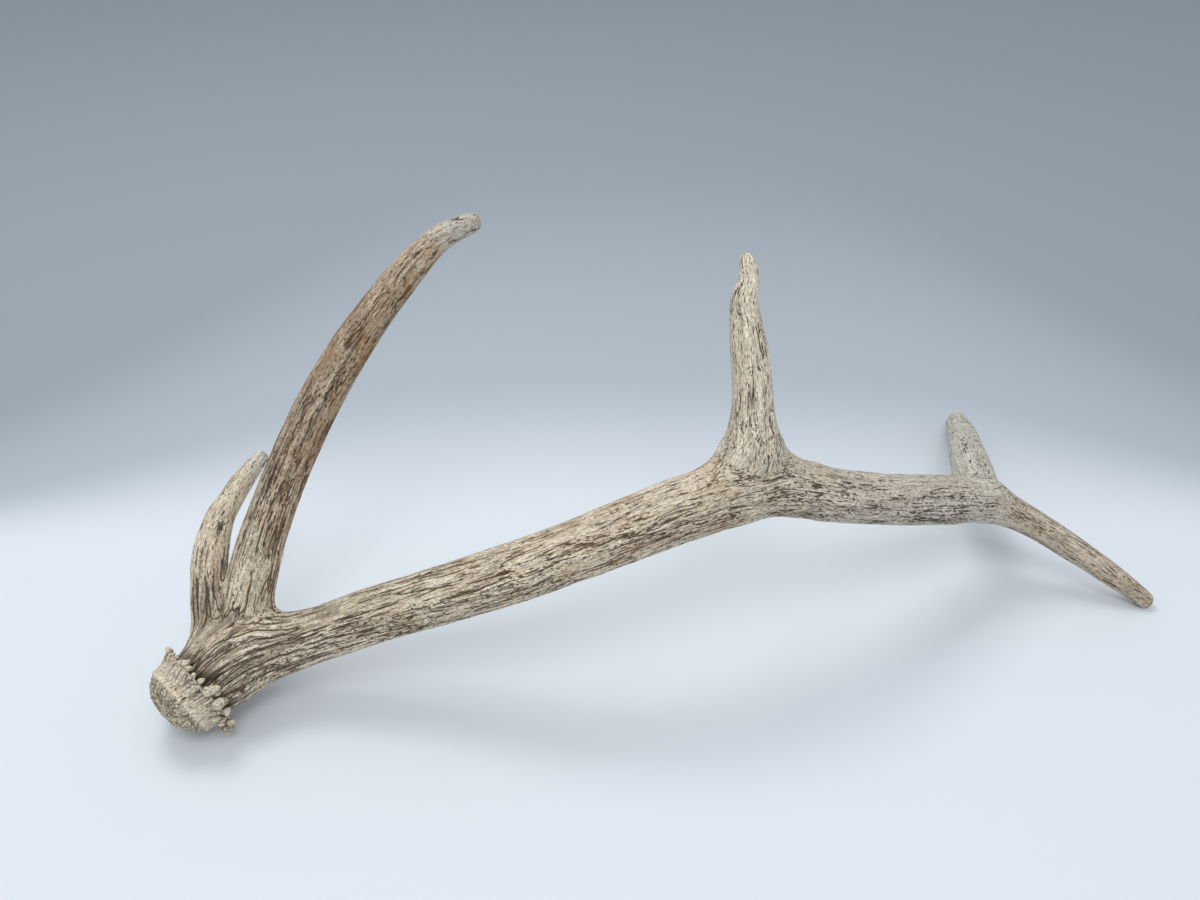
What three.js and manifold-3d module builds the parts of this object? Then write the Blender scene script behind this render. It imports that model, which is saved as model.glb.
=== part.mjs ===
// Shed deer antler: a beam with a burr at its foot, and five tines, lying on three points.
// Millimetres, +Z up. X runs from the burr to the crown, and +Y is the side that the tines lean to.
// The origin is on the ground, under the middle of the antler.
import * as THREE from "three";
import { mergeVertices } from "three/addons/utils/BufferGeometryUtils.js";
import Module from "manifold-3d";

const wasm = await Module();
wasm.setup();

// ---- Driving dimensions -------------------------------------------------------------------

const FORK_GAP = 0.3; // left between a tine and the branch that it grows from

// The burr: a domed seal, a flank that widens to the coronet, and the neck of the beam.
const BURR = {
  centre: [-355, -179, 35.5], // middle of the coronet
  axis: [0.672, 0.676, 0.302], // from the seal towards the beam
  coronetRadius: 37,
  sealRadius: 28.5,
  sealDepth: 15.5, // from the coronet back to the rim of the seal
  domeHeight: 15.5, // how far the seal bulges past its rim
  neckRadius: 27.5,
  neckLength: 16,
  sides: 36,
};
const PEARLS = { count: 22, ring: 34.5, offset: 3, radius: 4.4, squash: 0.8 };

// Each branch is a row of stations along its middle: [x, y, z, radius].
const BEAM = [
  [-355, -179, 35.5, 26],
  [-340, -165, 41, 27.5],
  [-320, -154, 46, 26],
  [-286, -147, 52, 21],
  [-226, -146, 76, 20.2],
  [-182, -147, 94, 20.7],
  [-136, -150, 115, 21.4],
  [-94, -149, 133, 21.4],
  [-36, -139, 154, 22.6],
  [-8, -130, 160, 24.4],
  [42, -110, 163, 24.6],
  [78, -100, 153, 21.7],
  [99, -93, 143, 20],
  [152, -66, 118, 19.6],
  [206, -35, 94, 20.1],
  [242, -18, 81, 19.8],
];
const BROW_TINE = [
  [-331, -151, 46, 20],
  [-327, -131, 70, 20],
  [-318, -119, 100, 18.2],
  [-309, -109, 126, 16.8],
  [-286, -92, 176, 15.8],
  [-255, -80, 230, 14.7],
  [-228, -66, 267, 13.3],
  [-199, -49, 299, 11.4],
  [-174, -37, 320, 8.8],
  [-152, -35, 330, 6.8],
];
const BEZ_TINE = [
  [-344, -157, 46, 18],
  [-354, -141, 60, 14.5],
  [-356, -124, 78, 13.6],
  [-357, -105, 96, 13.4],
  [-353, -85, 113, 11.2],
  [-346, -72, 121, 9.4],
  [-340, -57, 129, 8.3],
  [-331, -42, 138, 5.8],
];
const TREZ_TINE = [
  [42, -109, 166, 27],
  [41, -105, 188, 22],
  [38, -95, 205, 17.4],
  [38, -86, 220, 14.3],
  [37, -73, 235, 14],
  [35, -62, 250, 12.8],
  [33, -52, 264, 11.2],
  [32, -45, 276, 9.6],
  [35, -36, 287, 7.6],
  [36, -29, 297, 6.4],
];
const CROWN_FRONT_TINE = [
  [242, -18, 82, 18.5],
  [265, -19, 71, 14],
  [294, -23, 56, 11.7],
  [328, -35, 38, 10.5],
  [358, -47, 21, 9],
  [381, -56, 6.5, 7],
];
const CROWN_REAR_TINE = [
  [242, -18, 82, 18.5],
  [255, 36, 65, 18],
  [270, 102, 45, 15.8],
  [283, 151, 28, 14],
  [293, 200, 11, 11.4],
];

const ROUND_STEPS = 4; // rings on the rounded end of a branch
const GROUND = { size: [1000, 800, 60] }; // the block below the antler that flattens its three feet

// ---- Solids -------------------------------------------------------------------------------

// A closed three.js geometry as a solid that can be joined and cut.
function solidOf(geometry) {
  const shape = geometry.index ? geometry.toNonIndexed() : geometry.clone();
  shape.deleteAttribute("normal");
  shape.deleteAttribute("uv");
  const merged = mergeVertices(shape, 1e-3);
  const corners = merged.index.array;
  const faces = [];
  for (let i = 0; i < corners.length; i += 3) {
    const [a, b, c] = corners.subarray(i, i + 3);
    if (a !== b && b !== c && c !== a) faces.push(a, b, c); // the lathe's poles leave empty faces
  }
  return new wasm.Manifold(
    new wasm.Mesh({
      numProp: 3,
      vertProperties: merged.attributes.position.array,
      triVerts: new Uint32Array(faces),
    }),
  );
}

// The same solid as a three.js geometry with flat faces.
function geometryOf(solid) {
  const mesh = solid.getMesh();
  const geometry = new THREE.BufferGeometry();
  geometry.setAttribute("position", new THREE.BufferAttribute(mesh.vertProperties, 3));
  geometry.setIndex(new THREE.BufferAttribute(mesh.triVerts, 1));
  return geometry;
}

// The quaternion that turns the lathe's own axis, +Y, to the given direction.
function turnTo(direction) {
  return new THREE.Quaternion().setFromUnitVectors(new THREE.Vector3(0, 1, 0), direction);
}

// ---- A branch -----------------------------------------------------------------------------

// A straight round form is turned on a lathe, one ring for every step, and then bent along
// the branch's middle. Its last station is the middle of the rounded tip.
function branch(stations, { sides, steps, grow = 0 }) {
  const points = stations.map(([x, y, z]) => new THREE.Vector3(x, y, z));
  const path = new THREE.CatmullRomCurve3(points, false, "catmullrom", 0.5);
  const radii = new THREE.SplineCurve(stations.map((s, i) => new THREE.Vector2(i, s[3])));
  const tipRadius = stations.at(-1)[3] + grow;

  // Heights on the lathe up to 1 are parameters of the path. Past 1 they are millimetres of tip.
  const profile = [new THREE.Vector2(0, 0)];
  for (let i = 0; i <= steps; i++) {
    profile.push(new THREE.Vector2(radii.getPoint(i / steps).y + grow, i / steps));
  }
  for (let i = 1; i < ROUND_STEPS; i++) {
    const turn = (i / ROUND_STEPS) * (Math.PI / 2);
    profile.push(new THREE.Vector2(tipRadius * Math.cos(turn), 1 + tipRadius * Math.sin(turn)));
  }
  profile.push(new THREE.Vector2(0, 1 + tipRadius));

  const form = new THREE.LatheGeometry(profile, sides);
  const places = form.attributes.position;
  const frame = frameAlong(path);
  for (let i = 0; i < places.count; i++) {
    const along = places.getY(i);
    const { at, side, up, forward } = frame(Math.min(along, 1));
    at.addScaledVector(side, places.getX(i));
    at.addScaledVector(up, places.getZ(i));
    at.addScaledVector(forward, Math.max(along - 1, 0));
    places.setXYZ(i, at.x, at.y, at.z);
  }
  return solidOf(form);
}

// A frame that travels along the path without twisting, read at any parameter from 0 to 1.
function frameAlong(path) {
  const samples = 200;
  const sides = [];
  const side = new THREE.Vector3(0, 0, 1);
  for (let i = 0; i <= samples; i++) {
    const forward = path.getTangent(i / samples);
    side.addScaledVector(forward, -side.dot(forward)).normalize();
    sides.push(side.clone());
  }
  return (u) => {
    const forward = path.getTangent(u);
    const near = sides[Math.round(u * samples)].clone();
    near.addScaledVector(forward, -near.dot(forward)).normalize();
    const up = new THREE.Vector3().crossVectors(near, forward);
    return { at: path.getPoint(u), side: near, up, forward };
  };
}

// ---- The burr -----------------------------------------------------------------------------

// Turned on a lathe from the top of the seal's dome to inside the neck of the beam.
function burr(grow = 0) {
  const rim = -BURR.sealDepth;
  const dome = [];
  for (let i = 0; i < 6; i++) {
    const turn = (i / 6) * (Math.PI / 2);
    dome.push([BURR.sealRadius * Math.sin(turn), rim - BURR.domeHeight * Math.cos(turn)]);
  }
  const outline = [
    ...dome,
    [BURR.sealRadius, rim],
    [BURR.sealRadius + 2.5, rim * 0.6],
    [BURR.coronetRadius - 2, -3.5],
    [BURR.coronetRadius, 0],
    [BURR.coronetRadius - 1.5, 3.5],
    [BURR.neckRadius + 2, 7],
    [BURR.neckRadius, BURR.neckLength],
    [0, BURR.neckLength],
  ];
  const turned = new THREE.LatheGeometry(
    outline.map(([radius, height]) => new THREE.Vector2(radius > 0 ? radius + grow : 0, height)),
    BURR.sides,
  );
  const axis = new THREE.Vector3(...BURR.axis).normalize();
  turned.applyQuaternion(turnTo(axis));
  turned.translate(...BURR.centre);
  return solidOf(turned);
}

// Round beads of bone in a ring on the beam side of the coronet.
function pearls(grow = 0) {
  const axis = new THREE.Vector3(...BURR.axis).normalize();
  const turn = turnTo(axis);
  const beads = [];
  for (let i = 0; i < PEARLS.count; i++) {
    const angle = (i / PEARLS.count) * 2 * Math.PI;
    const size = PEARLS.radius * (1 + 0.18 * Math.sin(3 * i)) + grow;
    const bead = new THREE.SphereGeometry(size, 7, 5);
    bead.scale(1, 1 / PEARLS.squash, PEARLS.squash);
    bead.rotateY(-angle);
    bead.translate(PEARLS.ring * Math.cos(angle), PEARLS.offset, PEARLS.ring * Math.sin(angle));
    bead.applyQuaternion(turn);
    bead.translate(...BURR.centre);
    beads.push(solidOf(bead));
  }
  return beads;
}

// ---- The antler ---------------------------------------------------------------------------

function groundBlock() {
  const [width, depth, height] = GROUND.size;
  return solidOf(new THREE.BoxGeometry(width, depth, height).translate(0, 0, -height / 2));
}

const BEAM_FORM = { sides: 22, steps: 40 };
const TINE_FORM = { sides: 16, steps: 18 };
const ground = groundBlock();

// The beam with its burr and pearls. Grown by the gap, it cuts the roots of the tines.
function wholeBeam(grow = 0) {
  const foot = pearls(grow).reduce((whole, bead) => whole.add(bead), burr(grow));
  return branch(BEAM, { ...BEAM_FORM, grow }).add(foot);
}

// A tine without the branches that it grows from.
function tine(stations, ...parents) {
  let solid = branch(stations, TINE_FORM);
  for (const parent of parents) solid = solid.subtract(parent);
  return solid.subtract(ground);
}

const beamCutter = wholeBeam(FORK_GAP);
const browCutter = branch(BROW_TINE, { ...TINE_FORM, grow: FORK_GAP });
const frontCutter = branch(CROWN_FRONT_TINE, { ...TINE_FORM, grow: FORK_GAP });

const solids = {
  beam: wholeBeam().subtract(ground),
  brow_tine: tine(BROW_TINE, beamCutter),
  bez_tine: tine(BEZ_TINE, beamCutter, browCutter),
  trez_tine: tine(TREZ_TINE, beamCutter),
  crown_front_tine: tine(CROWN_FRONT_TINE, beamCutter),
  crown_rear_tine: tine(CROWN_REAR_TINE, beamCutter, frontCutter),
};

// Weathered bone: greyer towards the crown, creamier on the small tines.
const BONE = {
  beam: 0xa8967c,
  brow_tine: 0xa08d72,
  bez_tine: 0xb3a283,
  trez_tine: 0xb8a98f,
  crown_front_tine: 0x9c8f7c,
  crown_rear_tine: 0xaaa698,
};

const antler = new THREE.Group();
for (const [name, solid] of Object.entries(solids)) {
  const material = new THREE.MeshStandardMaterial({
    color: BONE[name],
    roughness: 0.8,
    metalness: 0,
    flatShading: true,
  });
  const mesh = new THREE.Mesh(geometryOf(solid), material);
  mesh.name = name;
  antler.add(mesh);
}

export default antler;
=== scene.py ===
# %% [markdown]
# # A shed deer antler
# An antler is bone that grew under a furry skin. Blood vessels in that skin pressed long furrows
# into the soft bone, and when the antler was shed it kept them. It starts at the seal, the rough
# dome that once sat on the skull, and at the burr, a collar of knobs called pearls. A beam runs
# on from there, and tines fork off it.
#
# The lesson builds it in one order: the shape of each branch, the rounded forks, the direction
# in which the bone grew, the furrows along that direction, the burr, and then the finish.

# %% The frame
import math

import bpy
import numpy as np
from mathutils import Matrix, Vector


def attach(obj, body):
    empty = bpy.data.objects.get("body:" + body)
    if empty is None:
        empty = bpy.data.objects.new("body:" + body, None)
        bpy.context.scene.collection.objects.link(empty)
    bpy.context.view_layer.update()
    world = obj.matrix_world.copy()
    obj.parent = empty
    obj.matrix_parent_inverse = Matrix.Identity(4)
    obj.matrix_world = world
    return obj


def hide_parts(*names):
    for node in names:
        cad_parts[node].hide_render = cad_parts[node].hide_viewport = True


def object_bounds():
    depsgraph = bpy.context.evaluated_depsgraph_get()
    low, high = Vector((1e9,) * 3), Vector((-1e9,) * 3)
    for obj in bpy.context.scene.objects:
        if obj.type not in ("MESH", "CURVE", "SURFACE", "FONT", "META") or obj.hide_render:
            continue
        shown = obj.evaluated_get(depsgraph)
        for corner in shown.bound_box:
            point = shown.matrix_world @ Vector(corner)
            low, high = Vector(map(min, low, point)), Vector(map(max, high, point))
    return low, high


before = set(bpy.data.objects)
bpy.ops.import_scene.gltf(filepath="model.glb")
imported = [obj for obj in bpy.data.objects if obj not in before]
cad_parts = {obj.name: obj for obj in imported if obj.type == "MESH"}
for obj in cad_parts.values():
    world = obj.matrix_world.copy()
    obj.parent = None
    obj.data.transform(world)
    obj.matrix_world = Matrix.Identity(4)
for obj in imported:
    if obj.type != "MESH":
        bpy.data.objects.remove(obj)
cad_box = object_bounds()

MM = 0.001  # the shapes below are worked out in millimetres, and Blender's unit is the metre
low_corner = np.array(cad_box[0]) / MM
high_corner = np.array(cad_box[1]) / MM
print("room for the antler, mm:", np.round(high_corner - low_corner, 1))

# %% [markdown]
# ## The branches
# Each branch is a round form that bends and tapers. It could be a Blender curve with a bevel,
# but the furrows need to know how far along and how deep in the bone a point lies, so the middle
# line is kept as numbers: a row of stations, each with its place and the radius there.
# A tine starts deep inside the beam, near the burr or before its fork, because the real bone
# fibres do so too: they run up the beam and then sweep out into the tine.

# %% Stations of the six branches: x, y, z, radius
STATIONS = {
    "beam": [
        (-355, -179, 35.5, 26), (-340, -165, 41, 28), (-320, -154, 46, 26.5),
        (-286, -147, 51.5, 20.8), (-226, -146, 76, 20.2), (-182, -147, 94, 20.6),
        (-136, -150, 115, 21.2), (-94, -149, 133, 21.2), (-36, -139, 154, 22.4),
        (-8, -130, 160, 22.8), (42, -110, 163, 22.3), (78, -100, 153, 21.0),
        (99, -93, 143, 19.8), (152, -66, 118, 19.6), (206, -35, 94, 19.7),
        (226, -25.5, 87, 17.6), (241, -18, 81.5, 14.5),
    ],
    "brow_tine": [
        (-350, -172, 37, 11), (-339, -158, 42, 15), (-331, -141, 58, 17.0),
        (-326.5, -129, 78, 17.8), (-319, -118.5, 101, 17.6), (-309.5, -109, 126, 16.3),
        (-286, -92, 176, 15.3), (-255, -80, 230, 14.4), (-228, -66, 267, 13.1),
        (-199, -49, 299, 11.2), (-176, -38, 319, 8.9), (-155, -35, 328.5, 6.8),
    ],
    "bez_tine": [
        (-353, -171, 40, 11), (-350, -158, 48, 13.4), (-353, -141, 60, 13.6),
        (-356, -124, 78, 13.1), (-357, -105, 96, 12.8), (-353, -85, 113, 10.9),
        (-346.5, -72, 121.5, 9.2), (-339, -57, 130, 8.2), (-328.5, -41, 139, 5.8),
    ],
    "trez_tine": [
        (29, -114, 170, 9), (33, -109.5, 179, 14.5), (36, -105.5, 188, 17.8),
        (37.6, -101.5, 196, 17.8), (37.6, -95, 206, 16.3), (37.6, -86, 220, 14.3),
        (37, -73, 235, 13.6), (35, -62, 250, 12.8), (33, -52, 264, 11.2),
        (32, -45, 276, 9.4), (35, -36, 287, 7.4), (34, -29, 297.5, 5.8),
    ],
    "crown_front_tine": [
        (222, -28, 88, 8), (243, -19, 81, 13.4), (265, -19, 71, 13.2), (294, -23, 56, 11.6),
        (328, -35, 38, 10.4), (358, -47, 21, 9), (381, -56, 6.5, 7),
    ],
    "crown_rear_tine": [
        (230, -20, 86, 9), (245, -1, 77, 16), (254, 36, 66, 17.4), (269.5, 102, 46, 15.3),
        (283, 151, 28, 13.6), (294, 199, 10.8, 11.2),
    ],
}
print("branches:", {name: len(rows) for name, rows in STATIONS.items()})


# %% A smooth line through the stations
def smooth_rows(rows, per_span=24):
    """A Catmull-Rom curve through rows of numbers."""
    rows = np.asarray(rows, float)
    rows = np.vstack([2 * rows[0] - rows[1], rows, 2 * rows[-1] - rows[-2]])
    t = (np.arange(per_span) / per_span)[:, None]
    spans = []
    for a, b, c, d in zip(rows, rows[1:], rows[2:], rows[3:]):
        cubic = (3 * b - a - 3 * c + d) * t**3
        square = (2 * a - 5 * b + 4 * c - d) * t**2
        spans.append(0.5 * (2 * b + (c - a) * t + square + cubic))
    return np.vstack(spans + [rows[-2:-1]])


def unit(v):
    """The same directions at length 1."""
    return v / np.maximum(np.linalg.norm(v, axis=-1, keepdims=True), 1e-9)


def middle_line(rows):
    """Samples every millimetre of a branch: place, radius, direction and two side directions."""
    fine = smooth_rows(rows)
    steps = np.linalg.norm(np.diff(fine[:, :3], axis=0), axis=1)
    along = np.concatenate([[0], np.cumsum(steps)])
    even = np.linspace(0, along[-1], int(along[-1]) + 1)
    fine = np.stack([np.interp(even, along, column) for column in fine.T], axis=1)
    place, radius = fine[:, :3], fine[:, 3]
    direction = unit(np.gradient(place, axis=0))
    side = np.zeros_like(place)
    carried = np.array([0.0, 0.0, 1.0])
    for i, forward in enumerate(direction):
        carried = unit(carried - forward * carried.dot(forward))
        side[i] = carried
    return {
        "place": place, "radius": radius, "along": even, "direction": direction,
        "side": side, "up": np.cross(side, direction), "flare": np.gradient(radius, even),
    }


branches = {name: middle_line(rows) for name, rows in STATIONS.items()}
for name, line in branches.items():
    print(f"{name}: {line['along'][-1]:.0f} mm along its middle")


# %% [markdown]
# ## Depth in the bone
# Everything that follows asks one question of a point in space: how far is it from the skin of
# a branch? Below zero it is inside. The nearest sample of the middle line gives the answer, and
# also says which way the fibres run there.

# %% Nearest place on a branch
def nearest(line, points, block=6000):
    """Distance from a branch's skin, outward direction, and index of the nearest sample."""
    place, direction = line["place"], line["direction"]
    away = np.empty((len(points), 3))
    skin = np.empty(len(points))
    index = np.empty(len(points), int)
    for start in range(0, len(points), block):
        p = points[start:start + block]
        squared = (place**2).sum(1)[None] - 2 * p @ place.T
        i = squared.argmin(1)
        offset = ((p - place[i]) * direction[i]).sum(1).clip(-0.6, 0.6)
        gap = p - (place[i] + offset[:, None] * direction[i])
        reach = np.linalg.norm(gap, axis=1)
        away[start:start + block] = gap / np.maximum(reach, 1e-6)[:, None]
        skin[start:start + block] = reach - np.interp(
            line["along"][i] + offset, line["along"], line["radius"]
        )
        index[start:start + block] = i
    return skin, away, index


first_depth = nearest(branches["beam"], branches["beam"]["place"][:1])[0][0]
print("the beam's middle line starts", round(float(-first_depth), 1), "mm under its skin")

# %% [markdown]
# ## Rounded forks
# Where branches meet, living bone fills the corner with a smooth web. Boolean union would leave a
# sharp line there. Instead the distances to all the branches near a point are blended into one
# height, and every branch is moved out to where that one height is zero. So the meshes of a fork
# share one skin. Each goes on a little way under its neighbour, and every mesh stays closed.

# %% The web between two branches
WEB = {  # how soft the corner is, mm
    ("beam", "brow_tine"): 6.3, ("beam", "bez_tine"): 5.5, ("bez_tine", "brow_tine"): 1.1,
    ("beam", "trez_tine"): 11.5, ("beam", "crown_front_tine"): 6.5, ("beam", "crown_rear_tine"): 3.6,
    ("crown_front_tine", "crown_rear_tine"): 5.0,
}
OVERLAP = 4.0  # how far a branch follows the shared skin past the fork line, mm
SINK = 0.1  # how much it sinks on that way, for each mm
REACH = 34.0  # beyond this a branch has no say, mm
FADE = 0.6  # its say fades over this share of the reach
CORNER = 4.0  # how near to both branches of a pair the pair's own softness counts, mm


def shared_skin(name, points):
    """Height over the skin that the branches share, and the direction straight out of it."""
    depth, away = {}, {}
    for other, line in branches.items():
        low = (line["place"] - line["radius"][:, None]).min(0) - REACH
        high = (line["place"] + line["radius"][:, None]).max(0) + REACH
        near = ((points > low) & (points < high)).all(1)
        if other != name and not near.any():
            continue
        depth[other] = np.full(len(points), 99.0)
        away[other] = np.zeros((len(points), 3))
        depth[other][near], away[other][near], _ = nearest(line, points[near])
    soft = np.full(len(points), 6e-9)
    weight = np.full(len(points), 1e-9)
    for (one, other), width in WEB.items():
        if one in depth and other in depth:
            close = np.exp(-(depth[one].clip(-20) + depth[other].clip(-20)) / CORNER)
            soft += width * close
            weight += close
    soft /= weight
    total, lean = np.ones(len(points)), away[name].copy()
    capped = np.ones(len(points))
    for other in depth:
        if other != name:
            gap = depth[other] - depth[name]
            fade = ((REACH - depth[other]) / (FADE * REACH)).clip(0, 1)
            fade = fade * fade * (3 - 2 * fade)
            share = fade * np.exp(-gap.clip(-20, 60) / soft)
            total += share
            lean += share[:, None] * away[other]
            capped += fade * np.exp(-gap.clip(-OVERLAP, 60) / soft)
    past = -np.min([depth[other] - depth[name] for other in depth], axis=0)
    sunk = SINK * past.clip(0, OVERLAP)
    return depth[name] - soft * np.log(capped) + sunk, unit(lean / total[:, None])


print("webs:", {" and ".join(pair): width for pair, width in WEB.items()})


# %% Faces and gaps on a grid of rings
def ring_faces(rings, sides):
    """Quads between rings, and triangles to the two end points."""
    r, s = np.meshgrid(np.arange(rings - 1), np.arange(sides), indexing="ij")
    a, b = r * sides + s, r * sides + (s + 1) % sides
    quads = np.stack([a, b, b + sides, a + sides], -1).reshape(-1, 4)
    first, last = rings * sides, rings * sides + 1
    s = np.arange(sides)
    start = np.stack([np.full(sides, first), (s + 1) % sides, s], -1)
    top = (rings - 1) * sides
    end = np.stack([np.full(sides, last), top + s, top + (s + 1) % sides], -1)
    return [quads, np.vstack([start, end])]


def across_gap(values, points, sides):
    """Distance in mm from each grid point to the line where the values change sign."""
    grid = values[:-2].reshape(-1, sides)
    place = points[:-2].reshape(-1, sides, 3)
    steep = 0
    for axis in (0, 1):
        step = np.roll(grid, -1, axis) - np.roll(grid, 1, axis)
        reach = np.linalg.norm(np.roll(place, -1, axis) - np.roll(place, 1, axis), axis=2)
        steep = steep + (step / np.maximum(reach, 0.2)) ** 2
    steep = np.sqrt((steep + np.roll(steep, 1, 1) + np.roll(steep, -1, 1)) / 3)
    gap = (grid / np.maximum(steep, 0.12)).clip(-4, 4)
    return np.concatenate([gap.ravel(), [4, 4]])


print("faces of a tube of 3 rings of 6:", sum(len(part) for part in ring_faces(3, 6)))

# %% A branch's skin as a grid of rings
ROOT_STEPS, TIP_STEPS = 7, 9  # rings on the round ends
SETTLE_ROUNDS, SETTLE_SHARE = 14, 0.9  # steps towards the shared skin, and how far each one goes
GRAIN_APART = 700  # keeps the grain of one branch away from the next one's, mm


def skin_of(name, sides, ring_gap):
    """Rings of points around the middle line, with round ends, moved out to the shared skin."""
    line = branches[name]
    length = line["along"][-1]
    stops = np.linspace(0, length, int(length / ring_gap) + 1)
    turn = np.linspace(0, 2 * math.pi, sides, endpoint=False)
    rows = []  # (place along the branch, lean of the ring towards the direction of growth)
    for k in range(ROOT_STEPS, 0, -1):
        rows.append((0.0, -0.5 * math.pi * k / (ROOT_STEPS + 0.5)))
    rows += [(stop, 0.0) for stop in stops]
    for k in range(1, TIP_STEPS + 1):
        rows.append((length, 0.5 * math.pi * k / (TIP_STEPS + 0.5)))
    origin, outward, radius, beyond = [], [], [], []
    for stop, tilt in rows:
        at = [np.array([np.interp(stop, line["along"], c) for c in line[key].T])
              for key in ("place", "side", "up", "direction")]
        ring = np.cos(turn)[:, None] * unit(at[1]) + np.sin(turn)[:, None] * unit(at[2])
        outward.append(math.cos(tilt) * ring + math.sin(tilt) * unit(at[3]))
        origin.append(np.repeat(at[0][None], sides, 0))
        radius.append(np.full(sides, np.interp(stop, line["along"], line["radius"])))
        beyond.append(np.stack([math.cos(tilt) * np.cos(turn), math.cos(tilt) * np.sin(turn),
                                np.full(sides, math.sin(tilt))], 1))
    for index, sense in ((0, -1), (-1, 1)):  # one point closes each end
        origin.append(line["place"][index][None])
        outward.append(sense * line["direction"][index][None])
        radius.append(line["radius"][index][None])
        beyond.append(np.array([[0, 0, sense]]))
    origin, outward, beyond = np.vstack(origin), np.vstack(outward), np.vstack(beyond)
    radius = np.concatenate(radius)
    reach = radius.copy()
    normal = outward.copy()
    others = [line for other, line in branches.items() if other != name]
    beside = [nearest(line, origin + reach[:, None] * outward)[0] for line in others]
    near = np.min(beside, axis=0) < REACH
    for _ in range(SETTLE_ROUNDS):
        height, normal[near] = shared_skin(name, (origin + reach[:, None] * outward)[near])
        slope = (normal[near] * outward[near]).sum(1).clip(0.45, 1)
        reach[near] -= SETTLE_SHARE * height / slope
    points = origin + reach[:, None] * outward
    along = np.concatenate([np.repeat([stop for stop, _ in rows], sides), [0, length]])
    grain = beyond * reach[:, None]
    grain[:, 2] += along + GRAIN_APART * list(STATIONS).index(name)
    return {"points": points, "normal": normal, "grain": grain, "sides": sides,
            "faces": ring_faces(len(rows), sides)}


print("rings on the round ends:", ROOT_STEPS + TIP_STEPS)

# %% The six skins
SIDES = {"beam": 214, "brow_tine": 176, "bez_tine": 130, "trez_tine": 150,
         "crown_front_tine": 124, "crown_rear_tine": 150}
RING_GAP = {"beam": 2.2, "brow_tine": 1.9, "bez_tine": 1.4, "trez_tine": 1.4,
            "crown_front_tine": 1.5, "crown_rear_tine": 1.6}
skins, spans, count = {}, {}, 0  # a span is a branch's stretch in the rows of all the skins
for name in STATIONS:
    skins[name] = skin_of(name, SIDES[name], RING_GAP[name])
    spans[name] = slice(count, count + len(skins[name]["points"]))
    count = spans[name].stop
    print(f"{name}: {len(skins[name]['points'])} points")
all_skin, all_normal, all_grain = (
    np.vstack([skin[part] for skin in skins.values()]) for part in ("points", "normal", "grain"))


# %% [markdown]
# ## The grain of the bone
# The furrows follow the way the bone grew: out of the burr, along the beam, and in an easy sweep
# into each tine. A plain noise texture can't turn corners like that. So the direction of growth
# is written into a coarse block of space, blended between the branches, and a random pattern is
# then smeared along it. Each point walks a few centimetres up and down the grain and averages
# what it meets: along the grain the pattern becomes long, and across it stays fine.

# %% A block of growth directions
CELL = 5.0  # mm
PAD = 30.0
GROWTH_REACH = 22  # how far from its skin a branch gives a direction, mm
GROWTH_BLEND = 4.5  # how softly two branches blend, mm
block_low = low_corner - PAD
block_shape = tuple(np.ceil((high_corner - low_corner + 2 * PAD) / CELL).astype(int) + 1)
nodes = np.stack(np.meshgrid(*[np.arange(n) for n in block_shape], indexing="ij"), -1)
nodes = nodes.reshape(-1, 3) * CELL + block_low
growth = np.zeros((len(nodes), 3))
total = np.full(len(nodes), 1e-12)
for name, line in branches.items():
    reach = line["radius"].max() + GROWTH_REACH + 2
    inside = ((nodes > line["place"].min(0) - reach) & (nodes < line["place"].max(0) + reach)).all(1)
    picked = np.flatnonzero(inside)
    depth, away, i = nearest(line, nodes[picked])
    close = depth < GROWTH_REACH
    picked, depth, away, i = picked[close], depth[close], away[close], i[close]
    share = np.exp(-depth / GROWTH_BLEND)
    spread = line["flare"][i] * (1 + depth / line["radius"][i])
    growth[picked] += share[:, None] * (line["direction"][i] + spread[:, None] * away)
    total[picked] += share
growth = unit(growth / total[:, None])
print("block of directions:", block_shape, "with", int((total > 1e-11).sum()), "in use")


# %% Reading a block between its nodes
def read_block(values, shape, position, wrap=False):
    """Linear reading of values stored on a 3-D lattice, at positions in lattice steps."""
    cell = np.floor(position).astype(np.int64)
    part = position - cell
    result = 0
    for corner in range(8):
        bits = np.array([corner & 1, corner >> 1 & 1, corner >> 2 & 1])
        at = cell + bits
        at = at % np.array(shape) if wrap else np.clip(at, 0, np.array(shape) - 1)
        weight = np.prod(np.where(bits, part, 1 - part), axis=1)
        found = values[(at[:, 0] * shape[1] + at[:, 1]) * shape[2] + at[:, 2]]
        result = result + (found * weight[:, None] if found.ndim > 1 else found * weight)
    return result


seed = np.random.default_rng(20)
GRAIN = 64  # random values along each side of the block of noise
grain_values = seed.standard_normal(GRAIN**3)
tilted = np.linalg.qr(np.array([[1.0, 0.4, -0.3], [0.2, 1.0, 0.5], [-0.6, 0.1, 1.0]]))[0]


def noise(points, size, shift=0.0):
    """Soft random values about zero, with lumps of the given size in mm."""
    return read_block(grain_values, (GRAIN,) * 3, points @ tilted / size + shift, wrap=True)


print("noise along the beam spreads by", round(float(noise(branches["beam"]["place"], 4.0).std()), 2))


# %% Smearing the noise along the grain
def smear(points, octaves, step=1.6):
    """For each (size, half length) the noise averaged along the direction of growth."""
    apart = 9.7  # each octave reads another stretch of the noise
    sums = [noise(points, size, k * apart) for k, (size, _) in enumerate(octaves)]
    counts = [np.ones(len(points)) for _ in octaves]
    longest = max(half for _, half in octaves)
    for sense in (1, -1):
        walker = points.copy()
        for n in range(1, int(longest / step) + 1):
            way = read_block(growth, block_shape, (walker - block_low) / CELL)
            walker += sense * step * unit(way)
            for k, (size, half) in enumerate(octaves):
                if n * step > half:
                    continue
                fade = 0.5 + 0.5 * math.cos(math.pi * n * step / half)
                sums[k] += fade * noise(walker, size, k * apart)
                counts[k] += fade
    values = [total / count for total, count in zip(sums, counts)]
    return [v / v.std() for v in values]


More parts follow.
